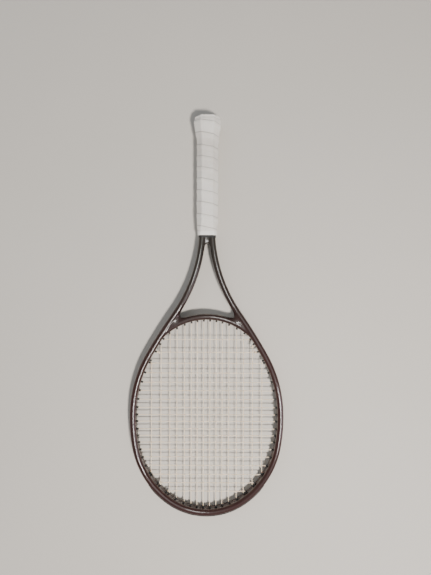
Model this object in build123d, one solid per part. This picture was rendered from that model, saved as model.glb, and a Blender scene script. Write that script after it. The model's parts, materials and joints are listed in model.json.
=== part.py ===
"""A tennis racket as the separate pieces that it is made of.

The origin is the middle of the butt end. +Y runs along the handle to the tip of the
head, +X lies across the head and +Z stands square to the strings. Millimetres.
"""
import os
from math import cos, degrees, radians, sin, sqrt, tan

from build123d import *

# ---- driving dimensions ---------------------------------------------------------

racket_length = 685.8        # 27 inches, butt end to tip

# the hollow frame tube
tube_width = 10.8            # in the plane of the strings
tube_height = 21.5
tube_corner = 5.2
tube_wall = 1.6
groove_width = 5.6           # string groove round the outside of the hoop
groove_depth = 2.4
bumper_thickness = 1.6
bumper_height = 16.6         # of the band that wraps round the outside
bumper_edge = 2.4            # how far out from the tube's middle line the band starts

# the line of the tube from the tip to the end of one leg: radius, turn in degrees
hoop_arcs = [(110, -35), (144, -45), (287, -12.5), (208, -27), (860, -5.5)]
throat_arc = (262, 33.5)     # the shaft curves back to run nearly along the handle
leg_taper_length = 80.0      # the legs close up inside the handle over this length
leg_end_arc = (300, 1.5)
leg_end = 9.8                # where the legs stop, from the butt end

# the bridge
bridge_axis_y = 343.6        # its middle line on the racket's axis
bridge_radius = 110.0
bridge_half_angle = 47.0
bridge_width = 9.8
bridge_height = 19.0
bridge_corner = 4.6

# the block that joins the two legs above the handle
web_start = 186.0
web_half_width = 9.0
web_half_height = 9.4
crotch_y = 217.0
crotch_radius = 4.9

# handle: half width, half thickness, and the corner cut in x and in z
pallet_octagon = (15.9, 14.2, 7.4, 8.7)
pallet_start = 9.6
pallet_end = 190.0
base_grip_thickness = 1.7
overgrip_thickness = 0.7
grip_taper_start = 179.0
grip_end = 203.7
grip_end_half_width = 15.9
grip_end_half_thickness = 11.6
collar_length = 3.7
finishing_tape_width = 7.0
finishing_tape_thickness = 0.3

# flare of the butt under the grips: distance from the end, growth over the pallet
flare = [
    (0.0, 0.9), (2.6, 3.0), (7.5, 4.6), (13.0, 5.0), (20.0, 4.2), (30.0, 1.9), (40.0, 0.4), (46.0, 0.05),
]
cap_end_wall = 3.0
chamber_width = 26.0         # the hollow behind the door
chamber_height = 21.0
grip_start = 1.2             # the grips stop just short of the end face

# trap door in the butt cap
door_width = 17.0
door_height = 15.0
door_thickness = 2.0
door_gap = 0.3
door_pin_radius = 0.6
door_pin_clearance = 0.05
door_pin_length = 1.4
badge_radius = 5.4
badge_thickness = 0.6
hinge_inset = 1.0            # the hinge line lies this far below the door's upper edge
stop_width = 8.0             # the ledge that the closed door rests against
stop_thickness = 0.8
stop_height = 1.8
stop_clearance = 0.15
notch_radius = 0.7           # fingernail notch in the door's lower edge
notch_width = 6.0

# strings
string_diameter = 1.3
first_main = 5.4
main_gaps = [10.9, 10.3, 11.6, 13.3, 12.1, 15.4, 16.3]
first_cross = 383.0
cross_gaps = [22, 19, 17, 16, 14.5, 15, 14, 12.5, 11.5, 13, 11.5, 11.5, 12.5, 13, 14.5, 15.7, 14.4, 14.4]
weave_lift = 0.67            # height of a string's middle line where it passes another
weave_radius = 12.0
loop_shift = 1.4             # a long loop runs to one side of the groove, clear of other holes
long_loop = 18.0

# grommets
barrel_outer = 3.4
barrel_bore = 2.2
barrel_reach = 3.2           # beyond the inside wall of the tube
barrel_clearance = 0.05
bridge_lean = 3.0            # holes in the bridge lean towards their strings
corner_offset = 8.0          # the corner hole comes out this much further from the axis
strip_thickness = 1.0
bumper_half_length = 112.0   # along the tube, each way from the tip
strip_gap = 1.5
channel_width = 4.4          # of the string channel in the bumper
side_strip_end = 269.0       # along the tube from the tip

string_radius = string_diameter / 2
half_tube = tube_width / 2
groove_floor = half_tube - groove_depth
bridge_floor = bridge_width / 2 - groove_depth
string_level = groove_floor + strip_thickness + string_radius + 0.1


# ---- the line of the tube --------------------------------------------------------

class Line:
    """Arcs and straights, each tangent to the last, in the plane of the strings.

    It starts on the racket's axis, heading along +X. A move is (radius, turn in
    degrees), counter-clockwise positive, or (length, 0) for a straight.
    """

    def __init__(self, start, moves, outside_left):
        self.side = 1 if outside_left else -1
        self.moves = []
        point, heading, along = Vector(*start), 0.0, 0.0
        for size, turn in moves:
            length = size * radians(abs(turn)) if turn else size
            self.moves.append((along, length, point, heading, size, turn))
            point, heading = self.step(point, heading, size, turn, length, length)
            along += length
        self.length = along

    @staticmethod
    def step(point, heading, size, turn, length, travelled):
        """The point and heading after part of one move."""
        angle = radians(heading)
        if not turn:
            return point + Vector(cos(angle), sin(angle)) * travelled, heading
        way = 1 if turn > 0 else -1
        centre = point + Vector(-sin(angle), cos(angle)) * (size * way)
        swung = turn * travelled / length
        arm = (point - centre).rotate(Axis.Z, swung)
        return centre + arm, heading + swung

    def at(self, along):
        """Point, direction of travel and outside direction at a distance from the start."""
        for start, length, point, heading, size, turn in self.moves:
            if along <= start + length or start + length >= self.length:
                place, angle = self.step(point, heading, size, turn, length, along - start)
                break
        angle = radians(angle)
        travel = Vector(cos(angle), sin(angle))
        outside = Vector(-sin(angle), cos(angle)) * self.side
        return place, travel, outside

    def solid(self, profile, start, end):
        """The profile (x outwards, y upwards) carried along part of the line."""
        pieces = []
        for move_start, length, _, _, size, turn in self.moves:
            low, high = max(start, move_start), min(end, move_start + length)
            if high - low < 0.01:
                continue
            place, travel, outside = self.at(low + 1e-7)
            section = Plane(origin=place, x_dir=outside, z_dir=travel) * profile
            if turn:
                way = 1 if turn > 0 else -1
                left = outside * self.side
                centre = place + left * (size * way)
                swept = degrees((high - low) / size)
                pieces.append(revolve(section, Axis(centre, (0, 0, way)), swept))
            else:
                pieces.append(extrude(section, high - low, dir=travel))
        return pieces[0].fuse(*pieces[1:]) if len(pieces) > 1 else pieces[0]

    def find(self, test, low, high):
        """Where along the line a rising or falling value passes zero."""
        sign = 1 if test(high) > test(low) else -1
        for _ in range(50):
            middle = (low + high) / 2
            if sign * test(middle) > 0:
                high = middle
            else:
                low = middle
        return (low + high) / 2


def both_sides(half):
    """A half on the +X side with its mirror image, as one solid."""
    return half.fuse(mirror(half, about=Plane.YZ)).clean()


leg_moves = [throat_arc, (leg_taper_length, 0), leg_end_arc]
tip_y = racket_length - bumper_thickness - half_tube
unended = Line((0, tip_y), hoop_arcs + leg_moves, True)
leg_straight = unended.at(unended.length)[0].Y - leg_end
tube_line = Line((0, tip_y), hoop_arcs + leg_moves + [(leg_straight, 0)], True)
hoop_end = sum(radius * radians(-turn) for radius, turn in hoop_arcs)
bridge_line = Line((0, bridge_axis_y), [(bridge_radius, bridge_half_angle)], False)


# ---- where the strings run -----------------------------------------------------------

def running_total(first, gaps):
    places = [first]
    for gap in gaps:
        places.append(places[-1] + gap)
    return places


mains = running_total(first_main, main_gaps)
crosses = running_total(first_cross, cross_gaps)
bridge_mains = 5             # this many mains each side go through the bridge


class Hole:
    """One grommet hole on the +X side: its mouth inside the hoop and the way out from it."""

    def __init__(self, line, along, width, lean=Vector(0, 0)):
        self.line, self.along = line, along
        self.place, _, self.outside = line.at(along)
        self.aim((self.outside + lean).normalized())
        self.mouth = self.level(-width / 2 - barrel_reach)

    def aim(self, way):
        self.way = way
        self.slant = way.dot(self.outside)

    def level(self, height):
        """The point on the hole's axis at a height above the middle line of the tube."""
        return self.place + self.way * (height / self.slant)


def hoop_hole(miss, low, high):
    """The hole, square to the hoop, whose mouth lies on its string."""
    def test(along):
        return miss(Hole(tube_line, along, tube_width).mouth)
    return Hole(tube_line, tube_line.find(test, low, high), tube_width)


def bridge_hole(x):
    """A hole in the bridge, leaning so that it opens well clear of the shafts."""
    lean = Vector(0, -bridge_lean)

    def test(along):
        return Hole(bridge_line, along, bridge_width, lean).mouth.X - x
    return Hole(bridge_line, bridge_line.find(test, 0, bridge_line.length), bridge_width, lean)


def corner_hole(x):
    """The hole where the bridge runs into the hoop, from the head to the outside groove."""
    def test(along):
        return tube_line.at(along)[0].X - x - corner_offset
    hole = Hole(tube_line, tube_line.find(test, 300, hoop_end + 40), tube_width)
    inner_radius = bridge_radius - bridge_width / 2
    inner_y = bridge_axis_y + bridge_radius - sqrt(inner_radius**2 - x**2)
    hole.mouth = Vector(x, inner_y + barrel_reach)
    exit_point = hole.level(string_level)
    hole.aim((exit_point - hole.mouth).normalized())
    hole.place = exit_point - hole.way * (string_level / hole.slant)
    return hole


def tip_hole(x):
    return hoop_hole(lambda mouth: mouth.X - x, 0, 190)


def throat_hole(x, order):
    if order < bridge_mains:
        return bridge_hole(x)
    if order == bridge_mains:
        return corner_hole(x)
    return hoop_hole(lambda mouth: mouth.X - x, 290, hoop_end)


def side_hole(y):
    return hoop_hole(lambda mouth: mouth.Y - y, 60, hoop_end)


tip_holes = [tip_hole(x) for x in mains]
throat_holes = [throat_hole(x, order) for order, x in enumerate(mains)]
side_holes = [side_hole(y) for y in crosses]
bridge_holes = throat_holes[:bridge_mains]
hoop_holes = tip_holes + throat_holes[bridge_mains:] + side_holes


def rod(start, end, radius):
    """A round rod between two points."""
    way = end - start
    return Solid.make_cylinder(radius, way.length, Plane(origin=start, z_dir=way))


def drillings(holes, radius, outer_level):
    """Rods through the tube, one for each hole, a little past both walls."""
    return [rod(hole.mouth, hole.level(outer_level), radius) for hole in holes]


# ---- frame and bridge ------------------------------------------------------------------

def tube_profile(width, height, corner):
    return Sketch() + RectangleRounded(width, height, corner)


def groove_profile(floor):
    """The string groove, whose floor is this far outside the middle line."""
    return Pos(floor + groove_depth, 0) * Rectangle(groove_depth * 2, groove_width)


def hollow_profile(width, height, corner):
    return tube_profile(width - 2 * tube_wall, height - 2 * tube_wall, corner - tube_wall)


def grooved_profile(width, height, corner, floor):
    """The wall of a tube that carries strings: grooved outside, with a land behind the groove."""
    land = Pos(floor, 0) * Rectangle(2 * tube_wall, groove_width + 2 * tube_wall)
    outer = tube_profile(width, height, corner)
    return outer - groove_profile(floor) - (hollow_profile(width, height, corner) - land)


def solid_tube(start, end):
    """The outside shape of part of the tube on the +X side, without its hollow."""
    return tube_line.solid(tube_profile(tube_width, tube_height, tube_corner), start, end)


def corner_tube():
    """The outside of the tube where the bridge meets it."""
    return solid_tube(hoop_end - 120, hoop_end + 60)


def frame_tube():
    """The hoop, the shafts and the legs inside the handle: one hollow moulding."""
    section = tube_width, tube_height, tube_corner
    half = tube_line.solid(grooved_profile(*section, groove_floor), 0, hoop_end)
    plain = tube_profile(*section) - hollow_profile(*section)
    shaft = tube_line.solid(plain, hoop_end, tube_line.length)
    half = half.cut(*drillings(hoop_holes, barrel_outer / 2 + barrel_clearance, half_tube + 2))
    half = half.fuse(shaft)
    web_length = crotch_y + crotch_radius - web_start
    web = Pos(0, web_start + web_length / 2, 0) * Box(2 * web_half_width, web_length, 2 * web_half_height)
    web -= Pos(0, crotch_y + crotch_radius, 0) * Cylinder(crotch_radius, tube_height)
    solid_leg = solid_tube(hoop_end, tube_line.length)
    web = web.cut(solid_leg, mirror(solid_leg, about=Plane.YZ))
    middle = web.solids().sort_by(lambda piece: abs(piece.center().X))[0]
    return both_sides(half).fuse(middle)


def throat_bridge():
    """The tube that closes the bottom of the hoop, cut to lie against it."""
    section = bridge_width, bridge_height, bridge_corner
    half = bridge_line.solid(grooved_profile(*section, bridge_floor), 0, bridge_line.length)
    half = half.cut(corner_tube())
    half = half.solids().sort_by(lambda piece: piece.center().X)[0]
    near = [hole for hole in hoop_holes if hole.along > hoop_end - 80]
    radius = barrel_outer / 2 + barrel_clearance
    half = half.cut(*drillings(bridge_holes + near, radius, bridge_width))
    return both_sides(half)


# ---- grommets and bumper ----------------------------------------------------------------

def barrels(holes, strip_top):
    return [rod(hole.mouth, hole.level(strip_top), barrel_outer / 2) for hole in holes]


def bores(holes, strip_top):
    runs = [(hole.mouth - hole.way, hole.level(strip_top + 1)) for hole in holes]
    return [rod(start, end, barrel_bore / 2) for start, end in runs]


def strip(line, start, end, profile, holes, strip_top):
    """A strip with its barrels, bored for the string."""
    body = line.solid(profile, start, end)
    body = body.fuse(*barrels(holes, strip_top - strip_thickness / 2))
    return body.cut(*bores(holes, strip_top))


def flat_strip_profile(floor, width):
    return Pos(floor + strip_thickness / 2, 0) * Rectangle(strip_thickness, width)


def holes_between(start, end):
    return [hole for hole in hoop_holes if start < hole.along < end]


def bumper_guard():
    """The guard over the tip: a band round the outside with the string channel in it."""
    grown = 2 * bumper_thickness
    band = tube_profile(tube_width + grown, tube_height, tube_corner + 0.8)
    band &= Pos(bumper_edge + half_tube, 0) * Rectangle(tube_width, bumper_height)
    inside = tube_profile(tube_width, tube_height, tube_corner) - groove_profile(groove_floor)
    channel = Pos(groove_floor + strip_thickness + 5, 0) * Rectangle(10, channel_width)
    profile = band - inside - channel
    top = groove_floor + strip_thickness
    holes = holes_between(0, bumper_half_length)
    half = strip(tube_line, 0, bumper_half_length, profile, holes, top)
    return both_sides(half)


def grommet_strip(start, end):
    """One of the strips in the side groove, on the +X side."""
    profile = flat_strip_profile(groove_floor, groove_width - 0.1)
    return strip(tube_line, start, end, profile, holes_between(start, end), groove_floor + strip_thickness)


def throat_grommet_strip():
    end = bridge_holes[-1].along + 5
    profile = flat_strip_profile(bridge_floor, groove_width - 0.1)
    half = strip(bridge_line, 0, end, profile, bridge_holes, bridge_floor + strip_thickness)
    return both_sides(half.cut(corner_tube()))


# ---- strings --------------------------------------------------------------------------------

def flipped(point):
    return Vector(-point.X, point.Y, point.Z)


def hole_points(hole, left, level):
    """Mouth and outer end of a hole, on either side of the racket."""
    ends = [hole.mouth, hole.level(level)]
    return [flipped(point) for point in ends] if left else ends


def crossing_height(before, after):
    """Corner height that leaves the rounded string at the weave's lift."""
    slope = weave_lift * (1 / before + 1 / after)
    radius = min(weave_radius, 0.48 * min(before, after) / slope)
    return weave_lift + radius * slope**2 / 2


def bend(before, corner, after, wanted):
    """The largest radius up to the one wanted that leaves both neighbours room."""
    turn = radians((corner - before).get_angle(after - corner))
    room = 0.48 * min((corner - before).length, (after - corner).length)
    return min(wanted, room / tan(turn / 2))


def string_tube(points, wanted):
    """A round string through the points, each corner rounded."""
    corners = zip(points, points[1:], points[2:], wanted[1:-1])
    radii = [bend(*corner) for corner in corners]
    path = FilletPolyline(*points, radius=radii)
    start = Plane(origin=path @ 0, z_dir=path % 0)
    return sweep(start * Circle(string_radius), path=path)


hole_bend = 4.0
exit_bend = 1.2
loop_bend = 25.0
bridge_level = bridge_floor + strip_thickness + string_radius + 0.1


def level_of(hole):
    return bridge_level if hole.line is bridge_line else string_level


class Route:
    """The points of a string, with the bend wanted at each."""

    def __init__(self):
        self.points, self.bends = [], []

    def add(self, point, wanted):
        self.points.append(point)
        self.bends.append(wanted)


def weave(marks, start, end, place_at, main_goes_up):
    """The crossings between the two ends of a run: over one string, under the next.

    marks are the numbered places of the other strings, and main_goes_up says of each
    number whether this run is the upper one there.
    """
    inside = [(number, mark) for number, mark in marks if start + 1 < mark < end - 1]
    rows = []
    for order, (number, mark) in enumerate(inside):
        before = mark - (inside[order - 1][1] if order else start)
        after = (inside[order + 1][1] if order + 1 < len(inside) else end) - mark
        height = crossing_height(before, after) * (1 if main_goes_up(number) else -1)
        rows.append(place_at(mark, height))
    return rows


columns = list(enumerate([-x for x in reversed(mains)] + mains))
rows_of_crosses = list(enumerate(crosses))


def add_loop(route, first, second, left, level, shift):
    """The stretch along the groove from one hole to the next."""
    if abs(second.along - first.along) > long_loop:
        parts = [(0.18, shift), (0.5, shift), (0.82, shift)]
    else:
        parts = [(0.5, 0.0)]
    for part, sideways in parts:
        place, _, outside = first.line.at(first.along + (second.along - first.along) * part)
        point = place + outside * level + Vector(0, 0, sideways)
        route.add(flipped(point) if left else point, loop_bend)


def main_string():
    """One string up and down the head, from the far left to the far right."""
    route = Route()
    ranks = [(rank, True) for rank in reversed(range(len(mains)))]
    ranks += [(rank, False) for rank in range(len(mains))]
    for column, (rank, left) in enumerate(ranks):
        tip, throat = tip_holes[rank], throat_holes[rank]
        x = -mains[rank] if left else mains[rank]
        crossings = weave(
            rows_of_crosses, throat.mouth.Y, tip.mouth.Y,
            lambda y, height: Vector(x, y, height), lambda number: (number + column) % 2 == 0,
        )
        upward = column % 2 == 0
        first, last = (throat, tip) if upward else (tip, throat)
        mouth, exit_point = hole_points(first, left, level_of(first))
        route.add(exit_point, exit_bend)
        route.add(mouth, hole_bend)
        for point in crossings if upward else reversed(crossings):
            route.add(point, weave_radius)
        mouth, exit_point = hole_points(last, left, level_of(last))
        route.add(mouth, hole_bend)
        route.add(exit_point, exit_bend)
        if column + 1 < len(ranks):
            next_rank, next_left = ranks[column + 1]
            following = (tip_holes if upward else throat_holes)[next_rank]
            if next_left != left:
                route.add(Vector(0, bridge_axis_y - level_of(last)), loop_bend)
            else:
                add_loop(route, last, following, left, level_of(last), -loop_shift)
    return string_tube(route.points, route.bends)


def cross_string():
    """The second string, from the throat to the tip, woven through the mains."""
    route = Route()
    for row, hole in enumerate(side_holes):
        reach = hole.mouth.X
        rightward = row % 2 == 0
        crossings = weave(
            columns, -reach, reach,
            lambda x, height: Vector(x, crosses[row], height), lambda number: (number + row) % 2 == 1,
        )
        mouth, exit_point = hole_points(hole, rightward, string_level)
        route.add(exit_point, exit_bend)
        route.add(mouth, hole_bend)
        for point in crossings if rightward else reversed(crossings):
            route.add(point, weave_radius)
        mouth, exit_point = hole_points(hole, not rightward, string_level)
        route.add(mouth, hole_bend)
        route.add(exit_point, exit_bend)
        if row + 1 < len(side_holes):
            add_loop(route, hole, side_holes[row + 1], not rightward, string_level, loop_shift)
    return string_tube(route.points, route.bends)


# ---- handle -----------------------------------------------------------------------------------

def octagon(half_width, half_thickness, cut_x, cut_z, y):
    """An eight-sided section of the handle, square to Y."""
    corners = []
    for x_sign, z_sign in ((1, 1), (1, -1), (-1, -1), (-1, 1)):
        side = (x_sign * half_width, z_sign * (half_thickness - cut_z))
        top = (x_sign * (half_width - cut_x), z_sign * half_thickness)
        corners += [side, top] if x_sign * z_sign < 0 else [top, side]
    plane = Plane(origin=(0, y, 0), x_dir=(1, 0, 0), z_dir=(0, -1, 0))
    return plane * make_face(Polyline(*corners, close=True))


def grown_octagon(growth, y):
    """The pallet's section, grown all round. Its corner cuts grow less than its sides."""
    half_width, half_thickness, cut_x, cut_z = pallet_octagon
    more = growth * 0.586
    return octagon(half_width + growth, half_thickness + growth, cut_x + more, cut_z + more, y)


def wrapped(thickness, start, end):
    """The outside of the handle under a grip of this thickness, as one solid."""
    sections = []
    for y, growth in flare:
        if y > start:
            sections.append(grown_octagon(growth + thickness, y))
    first = grown_octagon(flare_at(start) + thickness, start)
    sections.insert(0, first)
    sections.append(grown_octagon(thickness, grip_taper_start))
    over = base_grip_thickness + overgrip_thickness - thickness
    end_width, end_thickness = grip_end_half_width - over, grip_end_half_thickness - over
    sections.append(octagon(end_width, end_thickness, 3.6, 3.6, grip_end))
    body = loft(sections, ruled=True)
    if end < grip_end:
        body &= Pos(0, end / 2, 0) * Box(80, end, 80)
    return body


def flare_at(y):
    """Growth of the flare over the pallet at a distance from the end."""
    for (low, low_growth), (high, high_growth) in zip(flare, flare[1:]):
        if low <= y <= high:
            return low_growth + (high_growth - low_growth) * (y - low) / (high - low)
    return 0.0


def legs():
    """The solid shape of both legs inside the handle."""
    leg = solid_tube(hoop_end + 100, tube_line.length)
    return [leg, mirror(leg, about=Plane.YZ)]


def handle_pallet(front):
    """Half of the foam handle, moulded to fit round the legs."""
    half_width, half_thickness, cut_x, cut_z = pallet_octagon
    section = octagon(half_width, half_thickness, cut_x, cut_z, pallet_end)
    block = extrude(section, pallet_end - pallet_start) & wrapped(0.0, 2.0, pallet_end)
    block = block.cut(*legs())
    web = Pos(0, web_start + 20, 0) * Box(2 * web_half_width, 40, 2 * web_half_height)
    side = 1 if front else -1
    half_space = Pos(0, pallet_end / 2, side * 20) * Box(60, pallet_end + 10, 40)
    block = (block - web) & half_space
    return block.solids().sort_by(lambda piece: piece.volume)[-1]


def cap_sections(start):
    sections = [grown_octagon(growth, y) for y, growth in flare if y > start]
    return [grown_octagon(flare_at(start), start)] + sections


hinge_z = door_height / 2 - hinge_inset
hinge_y = door_thickness / 2


def butt_cap():
    """The flared cap: a skirt over the pallets and an end wall with the door's opening."""
    body = loft(cap_sections(0.0), ruled=True)
    half_width, half_thickness, cut_x, cut_z = pallet_octagon
    inside = octagon(half_width + 0.02, half_thickness + 0.02, cut_x, cut_z, 60)
    body -= extrude(inside, 60 - pallet_start)
    chamber_depth = pallet_start - cap_end_wall
    body -= Pos(0, cap_end_wall + chamber_depth / 2, 0) * Box(
        chamber_width, chamber_depth + 0.01, chamber_height
    )
    width, height = door_width + 2 * door_gap, door_height + 2 * door_gap
    body -= Pos(0, cap_end_wall / 2, 0) * Box(width, cap_end_wall * 2, height)
    bore = Cylinder(door_pin_radius + door_pin_clearance, door_width + 2 * door_pin_length + 1.0)
    body -= Pos(0, hinge_y, hinge_z) * Rot(0, 90, 0) * bore
    stop_y = door_thickness + stop_clearance + stop_thickness / 2
    stop = Pos(0, stop_y, -height / 2 + door_gap) * Box(stop_width, stop_thickness, stop_height)
    return body + stop


def butt_cap_door():
    """The trap door, with a round hinge edge and a pin at each side of it."""
    plate_bottom = -door_height / 2
    plate = Pos(0, hinge_y, (hinge_z + plate_bottom) / 2) * Box(
        door_width, door_thickness, hinge_z - plate_bottom
    )
    turned = Rot(0, 90, 0)
    edge = Pos(0, hinge_y, hinge_z) * turned * Cylinder(door_thickness / 2, door_width)
    pin_length = door_width + 2 * door_pin_length
    pin = Pos(0, hinge_y, hinge_z) * turned * Cylinder(door_pin_radius, pin_length)
    seat = Pos(0, badge_thickness / 2, 0) * Rot(90, 0, 0) * Cylinder(badge_radius, badge_thickness)
    notch = Pos(0, 0, plate_bottom) * Rot(0, 90, 0) * Cylinder(notch_radius, notch_width)
    return plate + edge + pin - seat - notch


def butt_badge():
    """A plain disc let into the door."""
    disc = Pos(0, badge_thickness / 2, 0) * Rot(90, 0, 0) * Cylinder(badge_radius - 0.02, badge_thickness)
    return chamfer(disc.edges().group_by(Axis.Y)[0], 0.2)


staple_wire = 0.5
staple_width = 10.0
staple_depth = 2.8
staple_places = (34.0, 41.0)  # from the butt end
tack_width = 6.0
tack_depth = 3.0
tack_place = 8.0


def staple(width, depth, wire):
    """A staple lying on Z = 0 along X, its two points down."""
    crown = Pos(0, 0, wire / 2) * Box(width, wire, wire)
    points = [Pos(side * (width - wire) / 2, 0, -depth / 2) * Box(wire, wire, depth) for side in (-1, 1)]
    return crown + points[0] + points[1]


def butt_cap_staples():
    """Four staples through the cap's skirt, two on each wide side."""
    group = []
    for side in (1, -1):
        for y in staple_places:
            height = pallet_octagon[1] + flare_at(y)
            turn = Rot(0, 0, 0) if side > 0 else Rot(0, 180, 0)
            place = Pos(0, y, side * (height - staple_wire / 2))
            group.append(place * turn * staple(staple_width, staple_depth, staple_wire))
    return group


def grip_tack():
    """The staple that holds the start of the base grip to the cap."""
    half_width = pallet_octagon[0]
    x = half_width + flare_at(tack_place) - 0.3
    return Pos(x, tack_place, 0) * Rot(0, 90, 0) * staple(tack_width, tack_depth, staple_wire)


def base_grip(fasteners):
    """The padded grip over the cap and the pallets, with the fasteners' heads let into it."""
    end = grip_end - 4.0
    body = wrapped(base_grip_thickness, grip_start, end) - wrapped(0.0, grip_start - 0.2, grip_end)
    return (body - end_block(0.02)).cut(*legs(), *fasteners)


def overgrip():
    outer = wrapped(base_grip_thickness + overgrip_thickness, grip_start, grip_end)
    return outer - wrapped(base_grip_thickness, grip_start - 0.2, grip_end) - end_block(0.02)


def end_block(clearance):
    """The outside of the tube and web where the grips end, as one block."""
    half_width = tube_line_half_width(grip_end) + clearance
    section = RectangleRounded(2 * half_width, tube_height + 2 * clearance, tube_corner)
    plane = Plane(origin=(0, grip_end + 10, 0), x_dir=(1, 0, 0), z_dir=(0, -1, 0))
    return extrude(plane * section, 24)


def tube_line_half_width(y):
    """Half width over both legs at a distance from the butt end."""
    along = tube_line.find(lambda s: tube_line.at(s)[0].Y - y, hoop_end, tube_line.length)
    return tube_line.at(along)[0].X + half_tube


def grip_collar():
    half_width = tube_line_half_width(grip_end + collar_length) + 0.05
    plane = Plane(origin=(0, grip_end + collar_length, 0), x_dir=(1, 0, 0), z_dir=(0, -1, 0))
    inner = RectangleRounded(2 * half_width, tube_height + 0.1, tube_corner)
    outer = RectangleRounded(2 * half_width + 1.3, tube_height + 1.4, tube_corner + 0.65)
    return extrude(plane * (outer - inner), collar_length)


def finishing_tape():
    """A thin band over the end of the overgrip."""
    under = base_grip_thickness + overgrip_thickness
    outer = wrapped(under + finishing_tape_thickness, grip_start, grip_end)
    inner = wrapped(under, grip_start, grip_end)
    band = Pos(0, grip_end - finishing_tape_width / 2, 0) * Box(80, finishing_tape_width, 80)
    return (outer & band) - inner


# ---- every piece, each in its own file -----------------------------------------------------------

def racket():
    strip_start = bumper_half_length + strip_gap
    shoulder_start = side_strip_end + strip_gap
    shoulder_end = throat_holes[bridge_mains].along + 5
    side, shoulder = grommet_strip(strip_start, side_strip_end), grommet_strip(shoulder_start, shoulder_end)
    tube = frame_tube()
    cap = butt_cap()
    pallets = [handle_pallet(True), handle_pallet(False)]
    staples = butt_cap_staples()
    tack = grip_tack()
    for piece in staples:
        cap -= piece
        pallets = [pallet - piece for pallet in pallets]
    cap -= tack
    return {
        "frame_tube": tube,
        "throat_bridge": throat_bridge(),
        "bumper_guard": bumper_guard(),
        "side_grommet_strip_right": side,
        "side_grommet_strip_left": mirror(side, about=Plane.YZ),
        "shoulder_grommet_strip_right": shoulder,
        "shoulder_grommet_strip_left": mirror(shoulder, about=Plane.YZ),
        "throat_grommet_strip": throat_grommet_strip(),
        "main_string": main_string(),
        "cross_string": cross_string(),
        "handle_pallet_front": pallets[0],
        "handle_pallet_back": pallets[1],
        "butt_cap": cap,
        "butt_cap_door": butt_cap_door(),
        "butt_badge": butt_badge(),
        "butt_cap_staples": Compound(children=staples),
        "grip_tack": tack,
        "base_grip": base_grip([tack] + staples),
        "overgrip": overgrip(),
        "finishing_tape": finishing_tape(),
        "grip_collar": grip_collar(),
    }


os.makedirs("parts", exist_ok=True)
for name, shape in racket().items():
    export_step(shape, f"parts/{name}.step")
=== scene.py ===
"""The looks of a strung tennis racket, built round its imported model.

Lengths are in millimetres and are turned into Blender's metres where a mesh is made.
+Y runs from the butt to the tip, +X across the head, +Z square to the strings.
"""
import json
from math import cos, pi, radians, sin, tau

import bpy
import numpy as np
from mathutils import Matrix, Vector
from mathutils.bvhtree import BVHTree


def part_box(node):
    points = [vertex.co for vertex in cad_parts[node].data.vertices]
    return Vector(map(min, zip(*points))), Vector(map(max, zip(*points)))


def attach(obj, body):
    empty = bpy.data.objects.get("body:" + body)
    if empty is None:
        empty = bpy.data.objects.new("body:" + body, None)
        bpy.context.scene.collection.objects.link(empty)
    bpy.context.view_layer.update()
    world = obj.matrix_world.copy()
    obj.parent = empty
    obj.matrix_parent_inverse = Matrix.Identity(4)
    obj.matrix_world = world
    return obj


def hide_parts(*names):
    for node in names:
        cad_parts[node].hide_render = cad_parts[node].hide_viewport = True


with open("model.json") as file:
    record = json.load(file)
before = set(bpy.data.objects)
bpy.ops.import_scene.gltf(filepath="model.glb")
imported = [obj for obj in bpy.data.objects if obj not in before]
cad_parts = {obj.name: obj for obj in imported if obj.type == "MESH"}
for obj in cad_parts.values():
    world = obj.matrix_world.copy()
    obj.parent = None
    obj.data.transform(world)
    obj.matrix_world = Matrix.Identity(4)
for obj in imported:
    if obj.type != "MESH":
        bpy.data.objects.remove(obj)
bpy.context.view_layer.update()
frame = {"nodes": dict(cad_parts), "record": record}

MM = 0.001

# ---- driving dimensions, as in the model -----------------------------------------------

tip_line_y = 678.8                 # middle line of the tube at the tip
hoop_arcs = [(110, -35), (144, -45), (287, -12.5), (208, -27), (860, -5.5)]
throat_arc = (262, 33.5)
leg_moves = [(80.0, 0), (300, 1.5)]
leg_end_y = 9.8
tube_width, tube_height, tube_corner = 10.8, 21.5, 5.2
groove_width, groove_floor = 5.6, 3.0
groove_fade = (402.0, 418.0)       # the string groove runs out between these places
groove_edge = 0.6                  # softness of the groove's edges
bridge_y, bridge_radius, bridge_half_angle = 343.6, 110.0, 47.0
bridge_width, bridge_height, bridge_corner = 9.8, 19.0, 4.6
bridge_floor = 2.5                 # of the bridge's string groove
bridge_groove_end, bridge_groove_fade = 60.0, 14.0
web_start, web_half_width, web_half_height = 186.0, 9.0, 10.1
crotch_y, crotch_radius = 217.0, 4.9
web_drop, web_drop_length = 1.5, 20.0      # the web's faces sink a little towards the crotch
web_corner, crotch_softness, web_blend = 2.5, 1.5, 2.2
bridge_blend, fairing_blend = 1.2, 0.5
fine_voxel, quick_voxel = 1.0, 1.4
rough_step = 3.0                   # between the rings of the rough frame
fairing_reach = 18.0               # size of the fillets between the bridge and the shafts
fairing_inset = 0.3
fairing_corner_share = 2.4         # the rough fillet reaches this fraction of the fairing's size
bumper_taper = 14.0                # length over which the bumper's ends thin out
bumper_sunk = 0.15                 # and how far inside the tube's skin they end
barrel_reach = 3.2
string_radius = 0.65
string_level = 4.75                # middle of a string that lies in the groove


# ---- meshes ------------------------------------------------------------------------------

def piece(name, points, faces, body="racket"):
    """A smooth-shaded mesh from points in millimetres, riding on a body."""
    mesh = bpy.data.meshes.new(name)
    mesh.from_pydata((np.asarray(points, float) * MM).tolist(), [], [list(face) for face in faces])
    mesh.validate()
    obj = bpy.data.objects.new(name, mesh)
    bpy.context.scene.collection.objects.link(obj)
    mesh.polygons.foreach_set("use_smooth", [True] * len(mesh.polygons))
    if body:
        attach(obj, body)
    return obj


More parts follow.
